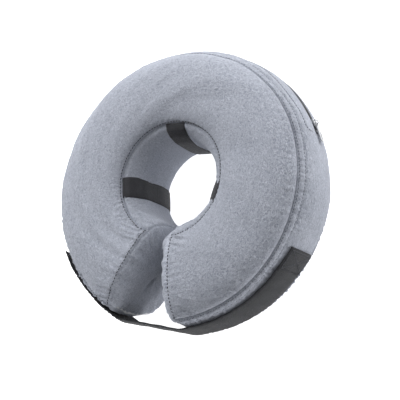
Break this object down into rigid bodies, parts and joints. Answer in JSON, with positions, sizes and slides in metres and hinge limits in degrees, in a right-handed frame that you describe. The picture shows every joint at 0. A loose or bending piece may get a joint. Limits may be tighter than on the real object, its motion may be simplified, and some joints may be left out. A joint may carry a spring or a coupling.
{
  "type": "elizabethan collar",
  "caption": "Padded ring collar that keeps a pet from licking a wound, open at one side, with collar loops, a zipped cover and a hook-and-loop strap.",
  "frame": {"origin": "centre of the bounding box at its base, on the plane that the back panel lies on", "axes": "+Z along the ring's axis toward the front face, +Y toward the crown opposite the gap, +X to the right arm as seen from the front"},
  "size_m": [0.3397, 0.3346, 0.1128],
  "materials": {
    "plush_cover": "short pile plush",
    "bladder_film": "smooth film",
    "loop_webbing": "woven",
    "zipper_tape": "woven",
    "zipper_coil": "satin",
    "zipper_metal": "satin plated",
    "strap_webbing": "napped",
    "strap_thread": "thread",
    "hook_tape": "hooked",
    "loop_pile": "looped pile"
  },
  "bodies": {
    "crown": {"front_panel_crown": "plush_cover", "inner_band_crown": "plush_cover", "back_panel_crown": "plush_cover", "outer_band_crown": "plush_cover", "bladder_crown": "bladder_film", "collar_loop_top": "loop_webbing", "zipper_tape_front": "zipper_tape", "zipper_coil_front": "zipper_coil", "zipper_stop_top_front": "zipper_metal", "zipper_tape_back": "zipper_tape", "zipper_coil_back": "zipper_coil", "zipper_stop_top_back": "zipper_metal", "zipper_stop_bottom": "zipper_metal"},
    "right_arm": {"front_panel_right": "plush_cover", "inner_band_right": "plush_cover", "back_panel_right": "plush_cover", "outer_band_right": "plush_cover", "end_panel_right": "plush_cover", "bladder_right": "bladder_film", "collar_loop_right": "loop_webbing", "strap_anchor": "strap_webbing", "strap_stitching": "strap_thread"},
    "left_arm": {"front_panel_left": "plush_cover", "inner_band_left": "plush_cover", "back_panel_left": "plush_cover", "outer_band_left": "plush_cover", "end_panel_left": "plush_cover", "bladder_left": "bladder_film", "collar_loop_left": "loop_webbing", "fastening_patch": "loop_pile"},
    "strap": {"strap_webbing": "strap_webbing", "strap_hook_tape": "hook_tape"},
    "zip_slider": {"slider_body": "zipper_metal", "slider_bail": "zipper_metal"},
    "zip_pull": {"pull_tab": "zipper_metal"}
  },
  "joints": [
    {"name": "right_arm_flex", "type": "hinge", "parent": "crown", "child": "right_arm", "pos_m": [0.16742, 0.02622, 0.0563], "axis": [0, 0, 1], "range_deg": [0, 12], "stiffness_Nm_per_rad": 9},
    {"name": "left_arm_flex", "type": "hinge", "parent": "crown", "child": "left_arm", "pos_m": [-0.16742, 0.02622, 0.0563], "axis": [0, 0, 1], "range_deg": [-12, 0], "stiffness_Nm_per_rad": 9},
    {"name": "strap_peel", "type": "hinge", "parent": "right_arm", "child": "strap", "pos_m": [0.0828, -0.14671, 0.0563], "axis": [0, 0, 1], "range_deg": [0, 96]},
    {"name": "zip_slide", "type": "hinge", "parent": "crown", "child": "zip_slider", "pos_m": [0, -0.0033, 0.0563], "axis": [0, 0, 1], "range_deg": [0, 108]},
    {"name": "zip_pull_swing", "type": "hinge", "parent": "zip_slider", "child": "zip_pull", "pos_m": [0.14459, 0.0906, 0.0563], "axis": [0, 0, 1], "range_deg": [0, 165]}
  ],
  "couplings": [
    {"joint": "left_arm_flex", "follows": "right_arm_flex", "ratio": -1},
    {"joint": "strap_peel", "follows": "right_arm_flex", "ratio": 8}
  ]
}
